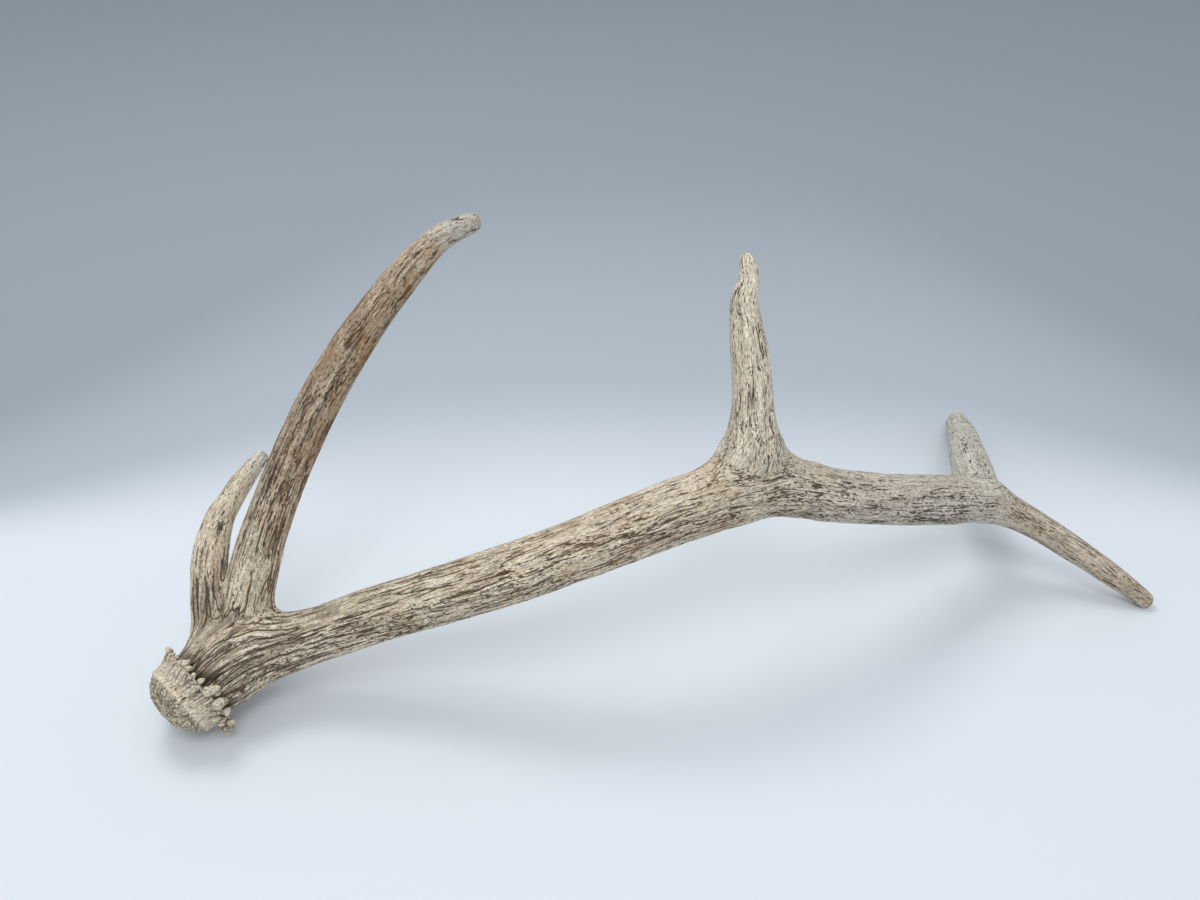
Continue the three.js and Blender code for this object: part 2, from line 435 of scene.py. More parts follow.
beam_start = (branches["beam"]["place"][:1] - block_low) / CELL
print("growth at the burr:", np.round(read_block(growth, block_shape, beam_start)[0], 2))

# %% [markdown]
# ## The burr
# The burr is turned around its own axis: a domed seal, a pale ridge around it, a ribbed band that
# widens to the coronet, and a lip that turns in behind. A lathe profile gives the form, and noise
# along its normal gives the grains of the seal and the ribs of the band. The pearls are separate
# small forms set around the coronet one by one, since no two of them are alike.

# %% The burr's own axes and profile
BURR_CENTRE = np.array([-355.0, -179.0, 35.5])
BURR_AXIS = unit(np.array([0.672, 0.676, 0.302]))
BURR_SIDE = unit(np.cross(BURR_AXIS, [0, 0, 1]))
BURR_UP = np.cross(BURR_SIDE, BURR_AXIS)
BURR_PROFILE = [  # radius, height from the coronet towards the beam, mm
    (0, -30.9), (9.5, -30.0), (17.8, -26.9), (23.8, -22.3), (27.3, -17.9), (28.8, -14.8), (29.4, -12),
    (30.8, -8), (32.8, -4.4), (34.8, -1.6), (34.8, 0.4), (32.5, 1.2), (29, 0.8), (22, 1.5), (8, 5),
]
RIM_HEIGHT = -15.6  # where the seal ends and the band begins
SEAL_SHIFT = np.array([-1.6, 0.6, 0.4])  # the seal sits a little off the burr's axis


def switch(value, softness=0.35):
    """0 where the value is well below zero and 1 where it is well above."""
    return 1 / (1 + np.exp(-value / softness))


def burr_place(angle, radius, height):
    """A point of the burr from its angle around the axis, distance from it and height."""
    ring = np.cos(angle)[..., None] * BURR_SIDE + np.sin(angle)[..., None] * BURR_UP
    return BURR_CENTRE + ring * np.asarray(radius)[..., None] + BURR_AXIS * np.asarray(height)[..., None]


def pebbles(points, size, shift=0.0):
    """Round grains: the distance to the nearest grain's middle, in grain sizes."""
    position = points @ tilted / size + shift
    cell = np.floor(position).astype(np.int64)
    best = np.full(len(points), 9.0)
    for corner in np.ndindex(3, 3, 3):
        at = cell + np.array(corner) - 1
        key = (at @ np.array([73, 157, 311])) % (GRAIN**3 - 7)  # a number that suits each cell
        jitter = np.stack([grain_values[key + k] for k in range(3)], 1)
        middle = at + 0.5 + 0.28 * np.tanh(jitter)
        best = np.minimum(best, np.linalg.norm(position - middle, axis=1))
    return best


print("the burr's axis rises", round(math.degrees(math.asin(BURR_AXIS[2])), 1), "degrees")

# %% The burr, turned
BURR_SIDES = 264
BURR_RING_GAP = 0.95
profile = smooth_rows(BURR_PROFILE, 8)
profile[:, 0] = profile[:, 0].clip(0)
walk = np.concatenate([[0], np.cumsum(np.linalg.norm(np.diff(profile, axis=0), axis=1))])
even = np.arange(1.0, walk[-1] - 1.0, BURR_RING_GAP)
profile = np.stack([np.interp(even, walk, column) for column in profile.T], 1)
slope = unit(np.gradient(profile, axis=0))
burr_angle = np.linspace(0, 2 * math.pi, BURR_SIDES, endpoint=False)
angle = np.tile(burr_angle, len(profile))
radius = np.repeat(profile[:, 0], BURR_SIDES)
height = np.repeat(profile[:, 1], BURR_SIDES)
out_r = np.repeat(slope[:, 1], BURR_SIDES)
out_h = np.repeat(-slope[:, 0], BURR_SIDES)
ring = np.cos(angle)[:, None] * BURR_SIDE + np.sin(angle)[:, None] * BURR_UP
from_rim = height - RIM_HEIGHT
to_edge = (from_rim / -RIM_HEIGHT).clip(0, 1)
base = burr_place(angle, radius, height) + SEAL_SHIFT * (1 - to_edge[:, None])
print("burr:", len(profile), "rings, widest", round(2 * float(radius.max()), 1), "mm")

# %% Grains of the seal and ribs of the band
on_seal = switch(-0.9 - from_rim, 0.5)
on_band = (1 - on_seal) * switch(0.2 - height, 0.5)
rib_place = 36 * ring + BURR_AXIS * height[:, None] * 0.25
ribs = noise(rib_place + 0.9 * noise(base, 5.0, 3.0)[:, None], 2.2, 5.0)
fine_ribs = noise(rib_place, 1.1, 21.0)
lobes = noise(36 * ring, 5.5, 11.0)
grains = pebbles(base, 1.9)
coarse_grains = noise(base, 3.4, 2.0)
sand = noise(base, 1.3, 9.0)
rim = np.exp(-((from_rim - 0.2) ** 2))
rise = on_seal * (0.75 - 1.5 * grains + 0.35 * coarse_grains + 0.3 * noise(base, 9.0, 7.0))
rise += on_band * (0.24 * np.tanh(ribs) + 0.13 * fine_ribs + 0.12 * sand) * (0.5 + 0.7 * to_edge)
rise += 0.8 * rim
rise += on_band * 0.9 * lobes * to_edge**3
rise -= 0.5
push = ring * out_r[:, None] + BURR_AXIS * out_h[:, None]
burr_points = base + push * rise[:, None]
scallop = (1.3 * np.tanh(lobes) + 0.9 * np.tanh(ribs)) * on_band * to_edge**4
burr_points += BURR_AXIS * scallop[:, None]
ends = burr_place(np.zeros(2), np.zeros(2), profile[[0, -1], 1] + np.array([-0.2, 0.2]))
burr_points = np.vstack([burr_points, ends])
burr_faces = ring_faces(len(profile), BURR_SIDES)
print("relief of the burr, mm:", round(float(rise.min()), 2), "to", round(float(rise.max()), 2))

# %% What the finish needs to know of the burr
def closed(values, end=0):
    """The same values, and one more for each of the two end points."""
    return np.append(values, [end, end])


creases = across_gap(closed(ribs, 1), burr_points, BURR_SIDES)
small_creases = across_gap(closed(fine_ribs, 1), burr_points, BURR_SIDES)
pits = ((grains - 0.5) / 0.3 + 0.2 * coarse_grains).clip(0, 0.5)
fade_line = RIM_HEIGHT - 2.0 - 1.3 * coarse_grains  # the pores thin out unevenly towards the rim
porous = switch(fade_line - height, 0.8)
TURN_GRAIN = np.array([1, 1, 7])  # grain without a direction of its own
even_grain = burr_points * TURN_GRAIN
ring_grain = np.stack([radius * np.cos(angle), radius * np.sin(angle), height], 1)
even_grain[:-2] = np.where(on_band[:, None] > 0.5, ring_grain, even_grain[:-2])
burr_masks = {
    "grain": even_grain,
    "furrow_gap": np.where(closed(on_seal, 1) > 0.5, 4, creases),
    "furrow": closed(on_band * (0.08 + 0.45 * to_edge)),
    "wrinkle_gap": np.where(closed(on_seal, 1) > 0.5, 4, small_creases),
    "wrinkle": closed(on_band * 0.18),
    "strand": closed(on_band * 0.5 * np.tanh(ribs) + 0.9 * rim),
    "dash": closed(porous * pits + 0.15 * on_band * (fine_ribs > 1.2)),
    "seal": closed(porous * (1 - 0.6 * rim), 1),
    "grey": np.full(len(burr_points), 0.15),
    "cream": closed(0.9 * on_band + 0.5 * on_seal),
    "brown": np.full(len(burr_points), 0.25),
    "dim": closed(0.05 * on_band - 0.3 * rim),
    "streak": closed(-0.2 * on_band - 0.8 * on_seal),
    # painted shade under the coronet's inner lip, where it turns in behind
    "hollow": closed(switch(height - 0.9, 0.3) * (radius < 33.6)),
}
print("burr:", len(burr_points), "points, porous on", round(float(100 * porous.mean())), "percent")

# %% Pearls
PEARLS = [  # angle in degrees, distance from the axis, height, length, width, thickness, turn
    (35, 34.4, 3.2, 6.3, 3.3, 3.4, 24), (16, 34.8, 1.6, 6.3, 3.9, 3.7, 24),
    (0, 34.8, 1.4, 3.0, 2.6, 2.7, 10), (9, 34.2, -4.6, 3.4, 1.6, 1.9, 40),
    (1, 34.0, -6.6, 4.0, 1.8, 2.0, 44), (-7, 34.6, -4.0, 3.0, 1.6, 2.0, 44),
    (-15, 34.2, -6.0, 4.4, 1.6, 2.0, 52), (-21, 35.4, -1.8, 4.2, 1.9, 2.8, 52),
    (-34, 36.0, -4.0, 4.4, 2.0, 2.8, 55), (-44, 36.4, -6.4, 4.6, 2.0, 2.8, 58),
    (-29, 35.4, -6.4, 4.6, 1.8, 2.4, 56), (80, 33.4, 3.6, 3.3, 2.6, 2.9, -10),
    (73, 33.4, 2.4, 2.5, 2.1, 2.3, 20), (87, 33.0, 1.6, 2.4, 2.2, 2.2, 0),
    (62, 33.0, 1.8, 2.3, 1.9, 2.0, 0), (51, 33.2, 2.6, 2.8, 2.0, 2.3, 12),
    (99, 32.8, 0.6, 2.6, 2.1, 2.0, 15), (111, 32.8, 0.6, 2.4, 2.0, 2.0, 0),
    (117, 35.4, 1.2, 2.2, 2.0, 3.6, 0), (26, 32.6, 5.2, 2.2, 1.6, 1.8, 20),
]


def pearl_form(rings=14, sides=20):
    """A round form of radius 1 as rings and two end points."""
    lean = np.linspace(-0.5, 0.5, rings + 2)[1:-1] * math.pi
    turn = np.linspace(0, 2 * math.pi, sides, endpoint=False)
    rows = [np.stack([np.sin(k) * np.ones(sides), np.cos(k) * np.cos(turn), np.cos(k) * np.sin(turn)], 1)
            for k in lean]
    points = np.vstack(rows + [[[-1, 0, 0]], [[1, 0, 0]]])
    return points, ring_faces(rings, sides)


HIDDEN_START, HIDDEN_END = 150.0, 280  # the far stretch of the ring, degrees
TOP_END = 205  # up to here its pearls are small, degrees
HIDDEN_RING = 33.4  # mm from the axis
HIDDEN_RANGES = [  # mm: past that ring, height, length, width, thickness
    (-0.6, 1.2), (0.4, 4.2), (3.0, 5.6), (2.0, 3.2), (2.2, 3.2),
]
HIDDEN_TURN, HIDDEN_STEP = (-35, 45), (8.5, 13)  # degrees
SMALL = 0.55  # their share of the full size
TAPER = 0.32  # how much a pearl thins towards the beam
pearl_rows = list(PEARLS)
here = HIDDEN_START
while here < HIDDEN_END:
    full = 1.0 if here > TOP_END else SMALL
    past_ring, *sizes = [seed.uniform(*reach) * full for reach in HIDDEN_RANGES]
    pearl_rows.append((here, HIDDEN_RING + past_ring, *sizes, seed.uniform(*HIDDEN_TURN)))
    here += seed.uniform(*HIDDEN_STEP)
round_points, round_faces = pearl_form()
pearl_points, pearl_shapes = [], []
for degrees, far, high, long, wide, thick, turned in pearl_rows:
    a, t = math.radians(degrees), math.radians(turned)
    outward = math.cos(a) * BURR_SIDE + math.sin(a) * BURR_UP
    across = np.cross(BURR_AXIS, outward)
    lengthwise = math.cos(t) * BURR_AXIS + math.sin(t) * across
    axes = np.array([lengthwise, np.cross(outward, lengthwise), outward])
    size = np.array([long, wide, thick])
    middle = burr_place(np.array(a), np.array(far), np.array(high))
    shaped = round_points * size
    shaped[:, 1:] *= 1 - TAPER * round_points[:, :1]
    placed = middle + shaped @ axes
    bumpy = 0.4 * noise(placed, 2.6, 8.0) + 0.22 * noise(placed, 1.2, 4.0)
    pearl_points.append(placed + bumpy[:, None] * unit(placed - middle))
    pearl_shapes.append((middle, axes, size))
print("pearls:", len(pearl_rows))

# %% Painted shade and dirt between the pearls
CONTACT_SHADE_REACH = 1.1  # how far the painted contact shade fades out from a pearl, mm
NECK_REACH = 2.2  # and from the neck of the beam, mm


def pearl_contact(points, skip=None):
    """1 where a pearl touches, fading out within about two millimetres."""
    touch = np.zeros(len(points))
    for index, (middle, axes, size) in enumerate(pearl_shapes):
        if index != skip:
            reach = np.linalg.norm((points - middle) @ axes.T / size, axis=1)
            touch = np.maximum(touch, np.exp(-((reach - 1) * size.min()).clip(0) / CONTACT_SHADE_REACH))
    return touch


# painted shade where the pearls touch the burr
burr_masks["hollow"] = np.maximum(burr_masks["hollow"], pearl_contact(burr_points) ** 1.5)
# Each pearl gets painted shade where it touches another pearl, by the neck of the beam and on its side
# that faces the axis, with some dirt there too.
pearl_shade_dirt = []
for index, cloud in enumerate(pearl_points):
    above_neck = nearest(branches["beam"], cloud)[0].clip(0)
    middle, axes, size = pearl_shapes[index]
    inward = ((middle - cloud) @ axes[2]) / size[2]
    contact_shade_dirt = np.maximum(pearl_contact(cloud, index) ** 1.6, np.exp(-above_neck / NECK_REACH))
    pearl_shade_dirt.append(np.maximum(contact_shade_dirt, ((inward + 0.15) * 1.6).clip(0, 1)).clip(0, 1))
print("pearl dirt, mean:", round(float(np.concatenate(pearl_shade_dirt).mean()), 2))

# %% [markdown]
# ## Furrows, wrinkles and lumps
# The smeared noise becomes relief. Where it crosses zero it draws thin lines that run for
# centimetres, split and fade out, just as the vessels did. They are deepest by the burr and
# nearly gone at the crown and the tips, where the antler was rubbed smooth.

# %% How strong the furrows are along each branch
FURROW_DEPTH = {  # (share of the branch's length, depth) in mm
    "beam": [(0, 1.5), (0.1, 1.3), (0.22, 0.85), (0.4, 0.6), (0.6, 0.5), (0.78, 0.26), (0.9, 0.1),
             (1, 0.05)],
    "brow_tine": [(0, 1.3), (0.3, 0.85), (0.55, 0.5), (0.75, 0.25), (0.9, 0.08), (1, 0.02)],
    "bez_tine": [(0, 1.2), (0.4, 1.0), (0.6, 0.4), (0.8, 0.06), (1, 0.0)],
    "trez_tine": [(0, 0.4), (0.3, 0.36), (0.6, 0.3), (0.85, 0.1), (1, 0.02)],
    "crown_front_tine": [(0, 0.06), (0.4, 0.12), (1, 0.04)],
    "crown_rear_tine": [(0, 0.05), (0.4, 0.06), (1, 0.03)],
}
BLEND = 3.0  # how softly the branches' values blend at a fork, mm


def places_on_branches(points):
    """For each branch: its say at every point, and how far along it the point lies."""
    places = {}
    for name, line in branches.items():
        depth, _, i = nearest(line, points)
        places[name] = np.exp(-depth.clip(-12, 60) / BLEND), line["along"][i] / line["along"][-1]
    return places


def along_branches(table, places):
    """A value that changes along each branch, blended where branches meet."""
    value, weight = 0.0, 1e-12
    for name, (say, place) in places.items():
        value = value + say * np.interp(place, *zip(*table[name]))
        weight = weight + say
    return value / weight


print("furrow depth at each root, mm:", {name: rows[0][1] for name, rows in FURROW_DEPTH.items()})

# %% Relief and its record for the finish
def line_of(gap, width):
    """1 in the middle of a line and 0 well outside it."""
    return np.exp(-((gap / width) ** 2))


skin_places = places_on_branches(all_skin)
strength = along_branches(FURROW_DEPTH, skin_places)
wander = 0.4 * np.stack([noise(all_skin, 8.0, k * 17.0) for k in range(3)], 1)
coarse, middle_size, fine, breaks = smear(
    all_skin + wander, [(2.9, 60), (1.6, 26), (1.0, 7), (4.0, 14)])
main_gap, small_gap = np.empty(len(all_skin)), np.empty(len(all_skin))
for name, span in spans.items():
    points, sides = skins[name]["points"], skins[name]["sides"]
    main_gap[span] = across_gap(coarse[span], points, sides)
    small_gap[span] = across_gap(middle_size[span], points, sides)
patch = noise(all_skin, 30.0, 1.0) + 0.5 * noise(all_skin, 12.0, 6.0)
shallow = (strength / 0.9).clip(0, 1)
kept = switch(1.3 * breaks + 2.2 * strength + 0.3 * patch - 1.2)
small_kept = switch(1.1 * breaks + 0.5 * patch + 1.1 * strength - 1.1)
main_lines = kept * line_of(main_gap, 0.5 + 0.4 * strength)
small_lines = small_kept * line_of(small_gap, 0.5)
dashes = (fine - 1.4 + 0.25 * patch).clip(0, 1.6) / 1.6
relief = -strength * (0.95 * main_lines + 0.34 * small_lines)
relief += 0.36 * shallow * np.tanh(coarse) + 0.14 * shallow * np.tanh(middle_size)
relief -= (0.08 + 0.2 * shallow) * dashes
relief += 0.2 * noise(all_skin, 16.0, 13.0) + 0.06 * noise(all_skin, 2.2, 30.0)
print("relief, mm: from", round(float(relief.min()), 2), "to", round(float(relief.max()), 2))

# %% A point of the picture on a branch
EYE = np.array([-68.0, -729.0, 628.0])  # the camera's place, mm
TILT = math.radians(55)  # how far the camera is raised from looking straight down
PICTURE = (1200, 900)  # width and height of the picture, in its own points
LENS, SENSOR = 33.0, 36.0


def seen_on(name, across, down):
    """The place on a branch that faces the camera and shows at a point of the picture."""
    points, normal = skins[name]["points"], skins[name]["normal"]
    ray = points - EYE
    ahead = ray @ np.array([0, math.sin(TILT), -math.cos(TILT)])
    above = ray @ np.array([0, math.cos(TILT), math.sin(TILT)])
    zoom = PICTURE[0] * LENS / SENSOR
    shown = np.stack([ray[:, 0] / ahead, -above / ahead], 1) * zoom + np.array(PICTURE) / 2
    miss = np.linalg.norm(shown - np.array([across, down]), axis=1)
    miss[(normal * ray).sum(1) > 0] = np.inf
    return points[miss.argmin()]


print("the middle of the brow tine is at", np.round(seen_on("brow_tine", 301, 404)), "mm")

# %% Single marks: pits by the burr, slits in the tines, long grooves on the brow tine
MARKS = {  # picture point across and down, half length along the grain, half width, depth, darkness of painted shade and dirt
    "beam": [
        (215, 678, 5.5, 2.5, 2.2, 1.0), (222, 702, 3.0, 1.9, 1.6, 1.0), (228, 710, 4.0, 1.8, 1.6, 1.0),
        (197, 676, 3.4, 1.5, 1.4, 1.0), (205, 682, 3.0, 1.5, 1.4, 0.9), (236, 706, 5.0, 1.5, 1.4, 0.9),
        (422, 590, 2.6, 1.2, 0.4, 0.9), (380, 632, 40, 1.0, 0.6, 0.7), (450, 606, 30, 0.9, 0.5, 0.7),
        (820, 507, 12, 0.8, 0.4, 0.8), (850, 511, 14, 0.9, 0.4, 0.8), (900, 517, 10, 0.8, 0.3, 0.7),
        (707, 463, 10, 0.9, 0.6, 0.85), (772, 459, 1.8, 1.0, 0.5, 0.9),
    ],
    "trez_tine": [
        (758, 360, 3.5, 0.9, 0.6, 1.0), (753, 400, 6.5, 1.2, 0.8, 0.9), (743, 426, 7.0, 0.9, 0.6, 0.8),
        (749, 432, 8.0, 0.9, 0.6, 0.8),
    ],
    "brow_tine": [
        (246, 535, 22, 1.1, 0.8, 0.8), (261, 496, 22, 1.1, 0.8, 0.8), (280, 445, 24, 1.0, 0.7, 0.8),
        (303, 404, 20, 0.9, 0.6, 0.75), (320, 374, 16, 0.9, 0.5, 0.6), (249, 535, 20, 0.8, 0.6, 0.7),
        (264, 496, 20, 0.8, 0.6, 0.7), (284, 445, 18, 0.8, 0.5, 0.6), (289, 476, 16, 0.8, 0.5, 0.6),
        (302, 444, 18, 1.0, 0.7, 0.8), (317, 417, 18, 1.0, 0.7, 0.85), (333, 388, 18, 1.2, 0.8, 0.9),
        (355, 346, 12, 1.2, 0.7, 0.9), (359, 322, 2.0, 1.1, 0.5, 0.9), (354, 329, 1.7, 1.0, 0.5, 0.9),
        (364, 320, 1.8, 0.9, 0.5, 0.8), (367, 312, 1.8, 1.0, 0.5, 0.85), (386, 293, 1.6, 0.9, 0.4, 0.8),
        (412, 270, 4.5, 1.3, 0.4, 0.85), (404, 279, 3.0, 1.2, 0.4, 0.7),
    ],
    "bez_tine": [
        (212, 588, 2.5, 1.6, 1.0, 1.0), (200, 560, 14, 1.0, 0.8, 0.8), (214, 600, 10, 1.2, 0.9, 0.8),
    ],
}
grain_way = unit(read_block(growth, block_shape, (all_skin - block_low) / CELL))
mark_shade_dirt = np.zeros(len(all_skin))
for name, rows in MARKS.items():
    for across, down, half_length, half_width, deep, darkness in rows:
        offset = all_skin - seen_on(name, across, down)
        near = (np.abs(offset) < 2.5 * half_length).all(1)
        along = (offset[near] * grain_way[near]).sum(1)
        aside = np.linalg.norm(offset[near] - along[:, None] * grain_way[near], axis=1)
        wobble = 1 + 0.25 * noise(all_skin[near], 2.0, 40.0)
        mark = np.exp(-((along / half_length) ** 4) - (aside * wobble / half_width) ** 2)
        relief[near] -= deep * mark
        # the mark's darkness is painted shade in the pit, with some dirt
        mark_shade_dirt[near] = np.maximum(mark_shade_dirt[near], darkness * mark)
print("marks:", {name: len(rows) for name, rows in MARKS.items()})

# %% [markdown]
# ## Where the colours change
# The finish needs to know where it is: how far out a tine, how near the burr, how close to a fork.
# These are soft masks stored on the points, and the materials read them as attributes.

# %% How the tones change along the branches
TONES = {  # for each mask and branch: (share of the branch's length, strength)
    "grey": {
        "beam": [(0, 0.25), (0.3, 0.1), (0.6, 0.3), (0.75, 0.65), (1, 0.9)],
        "brow_tine": [(0, 0.25), (0.4, 0.05), (0.9, 0.1), (0.97, 1.0), (1, 1.0)],
        "bez_tine": [(0, 0.2), (0.85, 0.0), (0.95, 0.8), (1, 0.9)],
        "trez_tine": [(0, 0.5), (0.4, 0.35), (1, 0.3)],
        "crown_front_tine": [(0, 0.85), (0.4, 0.35), (1, 0.5)],
        "crown_rear_tine": [(0, 0.9), (1, 1.0)],
    },
    "cream": {
        "beam": [(0, 0.2), (0.25, 0.5), (0.6, 0.45), (1, 0.35)],
        "brow_tine": [(0, 0.15), (0.5, 0.2), (0.75, 0.5), (0.9, 0.65), (1, 0.2)],
        "bez_tine": [(0, 0.1), (0.45, 0.35), (0.65, 0.8), (0.88, 1.0), (1, 0.3)],
        "trez_tine": [(0, 0.35), (0.6, 0.5), (0.85, 0.9), (1, 1.0)],
        "crown_front_tine": [(0, 0.3), (1, 0.1)],
        "crown_rear_tine": [(0, 0.35), (1, 0.6)],
    },
    "brown": {
        "beam": [(0, 0.35), (0.3, 0.55), (0.5, 0.85), (0.65, 0.5), (0.8, 0.15), (1, 0.1)],
        "brow_tine": [(0, 0.5), (0.4, 0.8), (0.7, 1.2), (0.85, 1.2), (0.95, 0.2), (1, 0.0)],
        "bez_tine": [(0, 0.4), (0.5, 0.3), (0.8, 0.1), (1, 0.0)],
        "trez_tine": [(0, 0.3), (0.5, 0.25), (1, 0.0)],
        "crown_front_tine": [(0, 0.2), (0.5, 0.6), (1, 0.5)],
        "crown_rear_tine": [(0, 0.1), (1, 0.0)],
    },
    "streak": {
        "beam": [(0, 0.3), (0.12, 0.1), (0.3, 0.15), (0.5, 0.25), (0.6, 0.25), (0.8, 0.2), (1, 0.1)],
        "brow_tine": [(0, 0.4), (0.3, 0.5), (0.6, 0.7), (0.85, 0.5), (0.95, 0.2), (1, 0.1)],
        "bez_tine": [(0, 0.4), (0.5, 0.4), (0.7, 0.2), (1, 0.1)],
        "trez_tine": [(0, 0.3), (0.25, 0.4), (0.6, 0.45), (0.85, 0.2), (1, 0.1)],
        "crown_front_tine": [(0, 0.2), (0.3, 0.4), (1, 0.35)],
        "crown_rear_tine": [(0, 0.15), (1, 0.05)],
    },
    "dim": {
        "beam": [(0, 0), (0.1, -0.12), (0.4, -0.1), (0.5, 0), (0.62, 0.1), (0.75, 0.2),
                 (0.85, 0.2), (1, 0.2)],
        "brow_tine": [(0, 0.1), (0.25, 0.0), (0.4, 0.4), (0.55, 0.6), (0.8, 0.7), (0.9, 0.4), (1, 0.4)],
        "bez_tine": [(0, 0.2), (0.5, 0.05), (1, 0.0)],
        "trez_tine": [(0, 0.1), (0.7, 0.05), (1, 0.0)],
        "crown_front_tine": [(0, 0.25), (0.4, 0.45), (1, 0.4)],
        "crown_rear_tine": [(0, 0.2), (1, 0.1)],
    },
}
tones = {mask: along_branches(table, skin_places) for mask, table in TONES.items()}
print("mean tones:", {mask: round(float(values.mean()), 2) for mask, values in tones.items()})

# %% Masks on the points
LOW_SIDE = unit(np.array([0.1, -0.62, -0.78]))
RIGHT_SIDE = unit(np.array([0.85, -0.35, -0.4]))
owner = np.repeat(list(spans), [span.stop - span.start for span in spans.values()])
low_side = switch(all_normal @ LOW_SIDE + 0.1, 0.2) * (owner == "beam")
right_side = switch(all_normal @ RIGHT_SIDE - 0.1, 0.2) * (owner == "brow_tine")
from_coronet = (all_skin - BURR_CENTRE) @ BURR_AXIS
off_axis = np.linalg.norm(all_skin - BURR_CENTRE - from_coronet[:, None] * BURR_AXIS, axis=1)
BURR_REACH = 45  # the painted shade and dirt by the burr stays this near its axis, mm
ragged_end = 6.2 - 4.6 * np.tanh(1.2 * coarse)  # the painted shade and dirt runs further in the furrows, mm
coronet_shade_dirt = switch(ragged_end - from_coronet, 1.3) * (off_axis < BURR_REACH)
masks = {
    "grain": all_grain,
    "furrow_gap": main_gap,
    "furrow": kept * (strength / 1.2).clip(0, 1),
    "wrinkle_gap": small_gap,
    "wrinkle": small_kept * (strength / 0.8).clip(0, 1),
    "strand": np.tanh(0.7 * coarse + 0.5 * middle_size),
    "dash": dashes * (0.35 + 0.65 * shallow),
    "seal": np.zeros(len(all_skin)),
    "grey": tones["grey"],
    "cream": tones["cream"],
    "brown": tones["brown"] * (0.8 + 0.2 * low_side) + 0.35 * right_side,
    "dim": tones["dim"],
    "streak": tones["streak"] + 0.8 * low_side + 0.25 * right_side,
    # painted shade, with some dirt, by the coronet, in the marks and around the pearls
    "hollow": np.maximum(np.maximum(coronet_shade_dirt, mark_shade_dirt), 0.9 * pearl_contact(all_skin) ** 2),
}
print("masks:", ", ".join(masks))

# %% [markdown]
# ## From numbers to meshes
# Each branch becomes one closed mesh with its own name. The beam's mesh also holds the burr and
# the pearls, which grow out of it. Points are kept inside the frame's box and above the ground.


# %% Building a piece
INSIDE = 0.02  # kept between the skin and the frame's box, mm


def make_piece(name, points, face_sets, values):
    """One closed mesh with its masks as attributes."""
    points = np.clip(points, low_corner + INSIDE, high_corner - INSIDE)
    points[:, 2] = points[:, 2].clip(0)
    mesh = bpy.data.meshes.new(name)
    loops = np.concatenate([faces.ravel() for faces in face_sets])
    sizes = np.concatenate([np.full(len(faces), faces.shape[1]) for faces in face_sets])
    mesh.vertices.add(len(points))
    mesh.vertices.foreach_set("co", (points * MM).ravel())
    mesh.loops.add(len(loops))
    mesh.loops.foreach_set("vertex_index", loops.astype(np.int32))
    mesh.polygons.add(len(sizes))
    mesh.polygons.foreach_set("loop_start", (np.cumsum(sizes) - sizes).astype(np.int32))
    mesh.update(calc_edges=True)
    mesh.validate()
    mesh.polygons.foreach_set("use_smooth", np.ones(len(mesh.polygons), bool))
    for mask, numbers in values.items():
        kind, field = ("FLOAT_VECTOR", "vector") if numbers.ndim == 2 else ("FLOAT", "value")
        mesh.attributes.new(mask, kind, "POINT").data.foreach_set(field, numbers.ravel())
    piece = bpy.data.objects.new(name, mesh)
    bpy.context.scene.collection.objects.link(piece)
    print(f"{name}: {len(points)} points, {int((sizes - 2).sum())} triangles")
    return piece


# %% The six pieces
PEARL_MASKS = {"furrow_gap": 4, "wrinkle_gap": 4, "cream": 0.9, "grey": 0.1, "brown": 0.1, "streak": 0.1}
pieces = {}
for name, span in spans.items():
    faces = skins[name]["faces"]
    points = skins[name]["points"] + skins[name]["normal"] * relief[span, None]
    values = {mask: numbers[span] for mask, numbers in masks.items()}
    if name == "beam":
        parts = [(burr_points, burr_faces, burr_masks)]
        for cloud, contact_shade_dirt in zip(pearl_points, pearl_shade_dirt):
            plain = {mask: np.full(len(cloud), PEARL_MASKS.get(mask, 0.0)) for mask in masks}
            plain.update(grain=cloud * TURN_GRAIN, hollow=contact_shade_dirt)
            parts.append((cloud, round_faces, plain))
        for cloud, more, extra in parts:
            faces = faces + [part + len(points) for part in more]
            points = np.vstack([points, cloud])
            values = {mask: np.concatenate([values[mask], extra[mask]]) for mask in masks}
    pieces[name] = make_piece(name, points, faces, values)

# %% [markdown]
# ## The finish
# Weathered bone has no gloss. Its ridges are pale, dust and dried blood stay in the furrows, and
# small pores and specks cover it all. Three node groups hold what every kind of bone here shares:
# one draws thin dashes and specks along the grain, one paints the furrows and the mottling, and
# one makes the pores. Each material adds its own colours and its own Principled shader.

# %% Small helpers for nodes
def new_group(name, inputs, outputs):
    """An empty node group with its sockets, and the nodes for what goes in and what comes out."""
    group = bpy.data.node_groups.new(name, "ShaderNodeTree")
    for label, kind, default in inputs:
        socket = group.interface.new_socket(label, in_out="INPUT", socket_type=kind)
        socket.default_value = default
    for label, kind in outputs:
        group.interface.new_socket(label, in_out="OUTPUT", socket_type=kind)
    return group, group.nodes.new("NodeGroupInput").outputs, group.nodes.new("NodeGroupOutput").inputs


def plug(socket, value):
    """Sets a socket to a constant or joins it to another socket."""
    if isinstance(value, bpy.types.NodeSocket):
        socket.id_data.links.new(value, socket)
    else:
        socket.default_value = value


def tree_of(*values):
    """The node tree of the sockets among these values."""
    return next(value.id_data for value in values if isinstance(value, bpy.types.NodeSocket))


def add_node(tree, kind, inputs, **settings):
    """A node with its settings, and with each named or numbered input set or joined."""
    node = tree.nodes.new("ShaderNode" + kind)
    for field, value in settings.items():
        setattr(node, field, value)
    for socket, value in inputs.items():
        plug(node.inputs[socket], value)
    return node


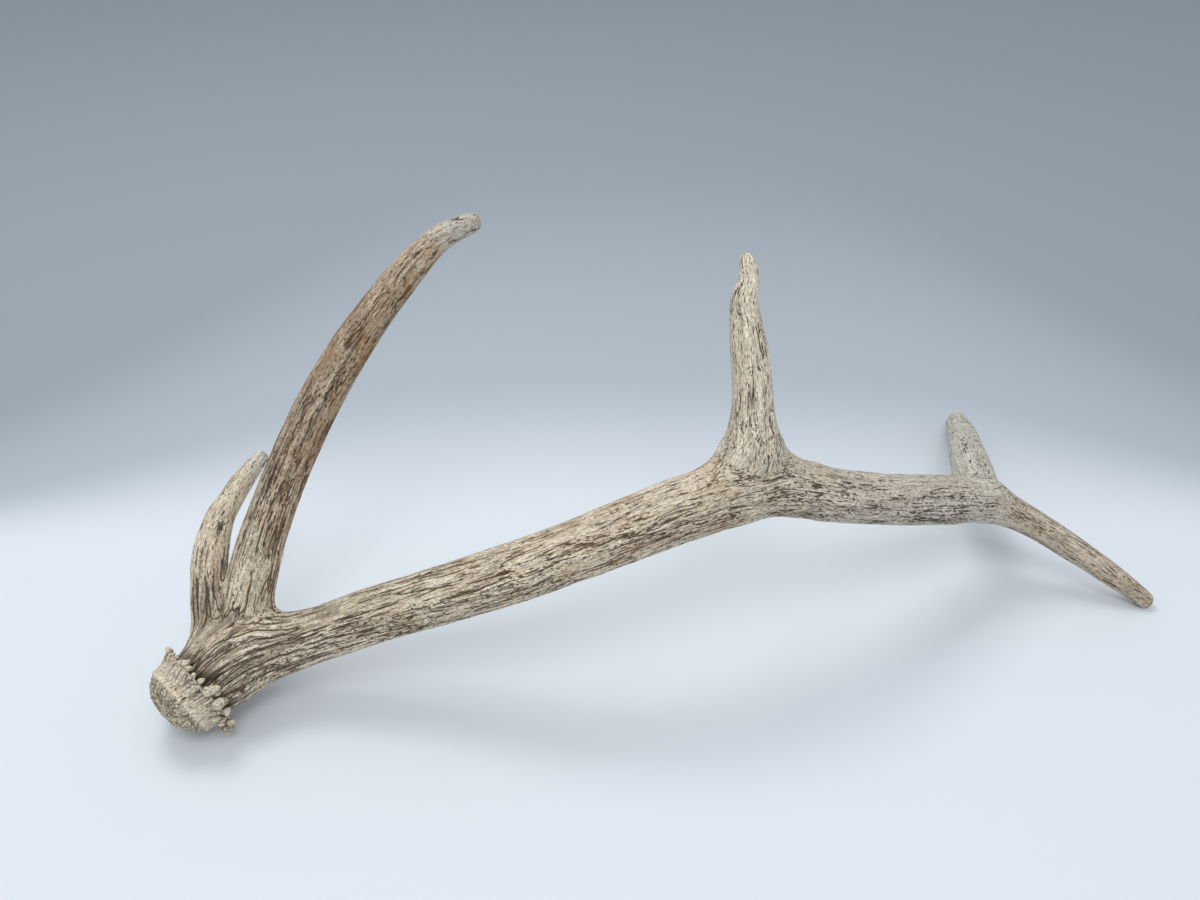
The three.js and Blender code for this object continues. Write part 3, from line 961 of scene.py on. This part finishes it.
def blend_colour(share, one, other, kind="MIX"):
    """The first colour at share 0, and at share 1 the second or, multiplied, their product."""
    inputs = {"Factor": share, "A": one, "B": other}
    tree = tree_of(share, one, other)
    return add_node(tree, "Mix", inputs, data_type="RGBA", blend_type=kind).outputs["Result"]


def ramp(value, low, high):
    """0 below low, 1 above high, smooth between."""
    inputs = {"Value": value, "From Min": low, "From Max": high}
    return add_node(tree_of(value), "MapRange", inputs, interpolation_type="SMOOTHSTEP").outputs[0]


def speckle(tree, scale, detail=3.0, rough=0.6):
    """Noise in the object's own space, with lumps per metre."""
    place = add_node(tree, "TexCoord", {}).outputs["Object"]
    inputs = {"Vector": place, "Scale": scale, "Detail": detail, "Roughness": rough}
    return add_node(tree, "TexNoise", inputs).outputs["Fac"]


FLOAT, COLOUR = "NodeSocketFloat", "NodeSocketColor"
helpers = (new_group, plug, tree_of, add_node, blend_colour, ramp, speckle)
print("node helpers:", ", ".join(helper.__name__ for helper in helpers))

# %% Sums on nodes
def sum_node(operation):
    """A helper that adds one Math node and hands back what comes out of it."""
    def add(*values, clamp=False):
        node = add_node(tree_of(*values), "Math", dict(enumerate(values)), operation=operation)
        node.use_clamp = clamp
        return node.outputs[0]
    return add


plus, less, times, over = map(sum_node, ("ADD", "SUBTRACT", "MULTIPLY", "DIVIDE"))
most, least, size_of, power = map(sum_node, ("MAXIMUM", "MINIMUM", "ABSOLUTE", "POWER"))
scaled = sum_node("MULTIPLY_ADD")  # the value times the second number plus the third
is_below = sum_node("LESS_THAN")
print("sums: plus, less, times, over, most, least, size_of, power, scaled and is_below")

# %% Group: grain
grainy, given, result = new_group(
    "Grain",
    [("Streaks", FLOAT, 0.5)],
    [("Tone", FLOAT), ("Dash", FLOAT), ("Speck", FLOAT), ("Rust", FLOAT)],
)
DRIFT = (4.0, 4.0, 0.0)  # how far the grain wanders sideways, mm
LUMPS = {  # size across and along the branch in mm, detail, roughness
    "clump": (7, 40, 2, 0.5), "break": (1.4, 9, 2, 0.5), "speck": (1.2, 3.6, 1, 0.5),
    "hair": (0.95, 16, 1, 0.5), "tone": (2.6, 50, 2, 0.5), "crumb": (1.3, 3.0, 2, 0.6),
    "rust": (9, 26, 4, 0.6),
}
WIDE_THREAD, THIN_THREAD = (4.2, 120, 0.05), (2.7, 90, 0.06)  # lumps, mm, and half width
straight = add_node(grainy, "Attribute", {}, attribute_name="grain").outputs["Vector"]
drift = add_node(grainy, "TexNoise", {"Vector": straight, "Scale": 0.04, "Detail": 1.0})
wandering = {0: drift.outputs["Color"], 1: DRIFT, 2: straight}
bent = add_node(grainy, "VectorMath", wandering, operation="MULTIPLY_ADD").outputs["Vector"]


def streaks(across, along, detail, rough):
    """Noise in lumps of the given size in mm, drawn out along the branch."""
    inputs = {0: bent, 1: (1 / across, 1 / across, 1 / along)}
    place = add_node(grainy, "VectorMath", inputs, operation="MULTIPLY").outputs["Vector"]
    inputs = {"Vector": place, "Scale": 1.0, "Detail": detail, "Roughness": rough}
    return add_node(grainy, "TexNoise", inputs).outputs["Fac"]


def thread(across, along, thin):
    """Thin long lines, drawn where the stretched noise crosses its middle."""
    off_line = size_of(less(streaks(across, along, 0, 0.5), 0.5))
    return less(1.0, ramp(off_line, 0.4 * thin, thin))


lumps = {label: streaks(*size) for label, size in LUMPS.items()}
density = scaled(given["Streaks"], 0.13, scaled(lumps["clump"], 0.44, -0.22))
rows = most(thread(*WIDE_THREAD), thread(*THIN_THREAD))
broken = ramp(plus(lumps["break"], density), 0.53, 0.575)
specks = ramp(plus(lumps["speck"], density), 0.72, 0.77)
dashes = times(times(rows, broken), ramp(lumps["hair"], 0.40, 0.47))
plug(result["Tone"], scaled(lumps["tone"], 4.4, -2.2))
plug(result["Dash"], most(dashes, specks))
plug(result["Speck"], scaled(lumps["crumb"], 4.4, -2.2))
plug(result["Rust"], ramp(lumps["rust"], 0.45, 0.66))
print("group", grainy.name, "has", len(grainy.nodes), "nodes")

# %% Group: stained bone
stained, given, result = new_group(
    "Stained bone",
    [("Bone", COLOUR, (0.5, 0.42, 0.32, 1)), ("Shade", COLOUR, (0.36, 0.28, 0.2, 1)),
     ("Stain", COLOUR, (0.07, 0.042, 0.024, 1)), ("Furrow gap", FLOAT, 4), ("Furrow", FLOAT, 0),
     ("Wrinkle gap", FLOAT, 4), ("Wrinkle", FLOAT, 0), ("Strand", FLOAT, 0), ("Dash", FLOAT, 0),
     ("Dim", FLOAT, 0), ("Tone", FLOAT, 0), ("Speck", FLOAT, 0), ("Streak", FLOAT, 0)],
    [("Colour", COLOUR), ("Height", FLOAT), ("Stain share", FLOAT)],
)
patches = ramp(speckle(stained, 60, 4), 0.36, 0.66)
ragged = scaled(speckle(stained, 900, 2, 0.6), 1.1, -0.55)
tone = scaled(given["Strand"], -0.16, 0.16)
tone = plus(tone, times(patches, 0.2))
tone = plus(tone, times(given["Tone"], 0.2))
tone = plus(tone, given["Dim"], clamp=True)
colour = blend_colour(tone, given["Bone"], given["Shade"])
print("group", stained.name, "starts with", len(stained.nodes), "nodes")


# %% Stain in the furrows, wrinkles and dashes
def stain_line(gap, amount, thin, wide):
    """How dark the stain is near a line: full in the middle, ragged at the edge."""
    away = plus(size_of(gap), ragged)
    width = scaled(amount, wide, thin)
    ratio = over(away, width)
    core = less(1.0, ramp(ratio, 0.35, 1.5))
    halo = less(1.0, ramp(ratio, 0.8, 4.0))
    there = ramp(amount, 0.02, 0.5)
    return times(core, there), times(halo, there)


furrow_core, furrow_halo = stain_line(given["Furrow gap"], given["Furrow"], 0.22, 0.62)
wrinkle_core, wrinkle_halo = stain_line(given["Wrinkle gap"], given["Wrinkle"], 0.16, 0.2)
halo = most(furrow_halo, times(wrinkle_halo, 0.5))
colour = blend_colour(times(halo, 0.3), colour, given["Shade"])
valley = less(times(given["Strand"], -1.0), 0.25)
valley = times(ramp(plus(valley, ragged), 0.0, 0.8), ramp(given["Furrow"], 0.45, 1.0))
core = most(furrow_core, times(wrinkle_core, 0.6))
core = most(core, times(valley, 0.62))
core = most(core, times(ramp(given["Dash"], 0.02, 0.5), 0.8))
core = most(core, given["Streak"])
colour = blend_colour(times(core, 0.94), colour, given["Stain"])
print("with the stain it has", len(stained.nodes), "nodes")

# %% Mottling and fine relief
crumbs = scaled(speckle(stained, 800, 2, 0.6), 2.0, -1.0)
crumbs = plus(crumbs, given["Speck"])
DARKEST, BRIGHTEST = 0.4, 1.3  # what the mottling may multiply the colour by
bright = scaled(crumbs, 0.4, 0.97)
bright = least(most(bright, DARKEST), BRIGHTEST)
even = add_node(stained, "CombineColor", {0: bright, 1: bright, 2: bright}).outputs[0]
colour = blend_colour(1.0, colour, even, "MULTIPLY")
plug(result["Colour"], colour)
plug(result["Height"], less(crumbs, times(core, 1.2)))
plug(result["Stain share"], core)
print("group", stained.name, "has", len(stained.nodes), "nodes")

# %% Group: pores
pores, given, result = new_group(
    "Pores",
    [("Amount", FLOAT, 0.3)],
    [("Mask", FLOAT), ("Height", FLOAT), ("Gaps", FLOAT)],
)
PORE_CELLS, GRAIN_CELLS = 520, 610  # in a metre
place = add_node(pores, "TexCoord", {}).outputs["Object"]
cells = add_node(pores, "TexVoronoi", {"Vector": place, "Scale": PORE_CELLS}).outputs
which = add_node(pores, "SeparateColor", {0: cells["Color"]}).outputs[0]
kept = is_below(which, given["Amount"])
hole = times(less(1.0, ramp(cells["Distance"], 0.12, 0.42)), kept)
plug(result["Mask"], hole)
plug(result["Height"], times(hole, -1.0))
pebble = add_node(pores, "TexVoronoi", {"Vector": place, "Scale": GRAIN_CELLS}).outputs
plug(result["Gaps"], ramp(pebble["Distance"], 0.48, 0.74))
print("group", pores.name, "has", len(pores.nodes), "nodes")


# %% Colours of bone
BONE = (0.86, 0.745, 0.575, 1)
SHADE = (0.45, 0.355, 0.25, 1)
GREY_BONE = (0.67, 0.645, 0.575, 1)
GREY_SHADE = (0.42, 0.385, 0.32, 1)
CREAM_BONE = (0.85, 0.745, 0.56, 1)
RUST = (0.58, 0.40, 0.225, 1)
RUST_SHADE = (0.33, 0.18, 0.08, 1)
SEAL_BONE = (0.88, 0.78, 0.58, 1)
SEAL_SHADE = (0.42, 0.35, 0.23, 1)
DIRT = (0.065, 0.042, 0.027, 1)
RUSTY_DIRT = (0.12, 0.055, 0.022, 1)
# near-black painted shade, with some dirt, for the hollows by the burr, the pearls and the marks
DEEP_SHADE_DIRT = (0.04, 0.026, 0.016, 1)
PORE_DIRT = (0.09, 0.06, 0.035, 1)
print("palest bone", BONE[:3], "and darkest hollow", DEEP_SHADE_DIRT[:3])


# %% A material for bone
MASKS = ("furrow_gap", "furrow", "wrinkle_gap", "wrinkle", "strand", "dash",
         "grey", "cream", "brown", "seal", "hollow", "streak", "dim")
DUSTY = 0.16  # how much rougher the bone is where dirt lies


def group_node(tree, group, inputs):
    """What comes out of one of the groups above, with its inputs set or joined."""
    return add_node(tree, "Group", inputs, node_tree=group).outputs


def bone_material(name, pore_share, rough):
    """Bone with this share of pores, as rough as this where no dust lies."""
    material = bpy.data.materials.new(name)
    material.use_nodes = True
    tree = material.node_tree
    shader = tree.nodes["Principled BSDF"]
    mask = {label: add_node(tree, "Attribute", {}, attribute_name=label).outputs["Fac"]
            for label in MASKS}
    fibres = group_node(tree, grainy, {"Streaks": mask["streak"]})
    cream_share = times(mask["cream"], ramp(speckle(tree, 30, 3), 0.25, 0.7))
    light = blend_colour(cream_share, BONE, CREAM_BONE)
    grey_share = times(mask["grey"], 0.9)
    light = blend_colour(grey_share, light, GREY_BONE)
    dark = blend_colour(grey_share, SHADE, GREY_SHADE)
    rusty = scaled(fibres["Rust"], 0.7, 0.3)
    rusty = times(mask["brown"], rusty, clamp=True)
    light = blend_colour(times(rusty, 0.65), light, RUST)
    dark = blend_colour(times(rusty, 0.8), dark, RUST_SHADE)
    on_seal = times(mask["seal"], 0.7)
    light = blend_colour(on_seal, light, SEAL_BONE)
    dark = blend_colour(on_seal, dark, SEAL_SHADE)
    dots = group_node(tree, pores, {"Amount": pore_share})
    seal_gaps = times(dots["Gaps"], mask["seal"])
    inputs = {label: mask[label.lower().replace(" ", "_")]
              for label in ("Furrow gap", "Furrow", "Wrinkle gap", "Wrinkle", "Strand", "Dim")}
    inputs.update({
        "Bone": light, "Shade": dark, "Stain": blend_colour(rusty, DIRT, RUSTY_DIRT),
        "Dash": most(mask["dash"], seal_gaps), "Streak": fibres["Dash"],
        "Tone": fibres["Tone"], "Speck": fibres["Speck"],
    })
    paint = group_node(tree, stained, inputs)
    deep = scaled(paint["Stain share"], 0.35, 0.65)
    # painted shade and dirt in the hollows, darker where the stain is
    colour = blend_colour(times(mask["hollow"], deep), paint["Colour"], DEEP_SHADE_DIRT)
    colour = blend_colour(times(dots["Mask"], 0.6), colour, PORE_DIRT)
    height = scaled(dots["Height"], 0.6, paint["Height"])
    relief = {"Strength": 0.5, "Distance": 0.3 * MM, "Height": height}
    plug(shader.inputs["Base Color"], colour)
    plug(shader.inputs["Roughness"], scaled(paint["Stain share"], DUSTY, rough))
    plug(shader.inputs["Specular IOR Level"], 0.3)
    plug(shader.inputs["Normal"], add_node(tree, "Bump", relief).outputs["Normal"])
    print("material", name, "has", len(tree.nodes), "nodes")
    return material


# %% Three kinds of bone
furrowed = bone_material("Furrowed bone", 0.24, 0.72)
creamy = bone_material("Rubbed tine bone", 0.16, 0.6)
crown = bone_material("Crown bone", 0.12, 0.62)
FINISH = {
    "beam": (furrowed, "beam_bone"), "brow_tine": (furrowed, "beam_bone"),
    "bez_tine": (creamy, "tine_bone"), "trez_tine": (creamy, "tine_bone"),
    "crown_front_tine": (crown, "crown_bone"), "crown_rear_tine": (crown, "crown_bone"),
}

# %% Each piece takes its place in the frame
for name, piece in pieces.items():
    material, slot = FINISH[name]
    piece.data.materials.append(material)
    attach(piece, "root")
    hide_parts(name)
print("pieces in place:", ", ".join(pieces))

# %% [markdown]
# ## Ground, light and camera
# A pale surface, a little bluer and darker towards the back as painted shade, and two large soft lights:
# one above and slightly behind, which draws the main shadow, and a weaker one in front.

# %% The ground
HALF = 6.0  # metres from the middle to an edge
PAPER_AND_PAINTED_SHADE = [(0.77, 0.815, 0.87, 1), (0.475, 0.525, 0.58, 1), (0.345, 0.39, 0.43, 1)]
floor_mesh = bpy.data.meshes.new("ground")
floor_mesh.from_pydata([(-HALF, -HALF, 0), (HALF, -HALF, 0), (HALF, HALF, 0), (-HALF, HALF, 0)],
                       [], [(0, 1, 2, 3)])
floor = bpy.data.objects.new("ground", floor_mesh)
bpy.context.scene.collection.objects.link(floor)
paper = bpy.data.materials.new("Pale paper")
paper.use_nodes = True
tree = paper.node_tree
where = add_node(tree, "TexCoord", {}).outputs["Object"]
split = add_node(tree, "SeparateXYZ", {0: where}).outputs
sideways = power(size_of(split["X"]), 4.0)
back = times(split["Y"], scaled(sideways, 13.0, 1.0))  # the painted shade comes sooner at the sides
# painted shade: the ground turns bluer and darker towards the back and the sides
tone = blend_colour(ramp(back, 0.035, 0.33), PAPER_AND_PAINTED_SHADE[0], PAPER_AND_PAINTED_SHADE[1])
tone = blend_colour(ramp(back, 0.12, 1.05), tone, PAPER_AND_PAINTED_SHADE[2])
shader = tree.nodes["Principled BSDF"].inputs
plug(shader["Base Color"], tone)
plug(shader["Roughness"], 0.9)
plug(shader["Specular IOR Level"], 0.1)
floor.data.materials.append(paper)
print("ground", 2 * HALF, "m across, of", paper.name.lower())


# %% Lights
def soft_light(name, place, size, watts, colour):
    """A square lamp, this many metres across, that faces the middle of the ground."""
    lamp = bpy.data.lights.new(name, "AREA")
    lamp.shape, lamp.size, lamp.energy, lamp.color = "SQUARE", size, watts, colour
    holder = bpy.data.objects.new(name, lamp)
    holder.location = place
    holder.rotation_euler = (-holder.location).to_track_quat("-Z", "Y").to_euler()
    bpy.context.scene.collection.objects.link(holder)
    print(f"{name}: {watts} W, {size} m across")
    return holder


soft_light("overhead softbox", (-0.63, 0.59, 2.1), 0.85, 14, (1.0, 0.99, 0.97))
soft_light("front softbox", (0.0, -1.15, 1.9), 0.8, 10.5, (1.0, 1.0, 1.0))
world = bpy.data.worlds.new("Studio air")
world.use_nodes = True
air = world.node_tree.nodes["Background"].inputs
air["Color"].default_value = (0.90, 0.95, 1.0, 1)
air["Strength"].default_value = 0.63
bpy.context.scene.world = world

# %% Camera
lens = bpy.data.cameras.new("camera")
lens.sensor_width, lens.lens = SENSOR, LENS
camera = bpy.data.objects.new("camera", lens)
camera.location = EYE * MM
camera.rotation_euler = (TILT, 0, 0)
bpy.context.scene.collection.objects.link(camera)
bpy.context.scene.camera = camera
bpy.context.scene.view_settings.view_transform = "Standard"
print("camera", round(camera.location.z, 3), "m above the ground")
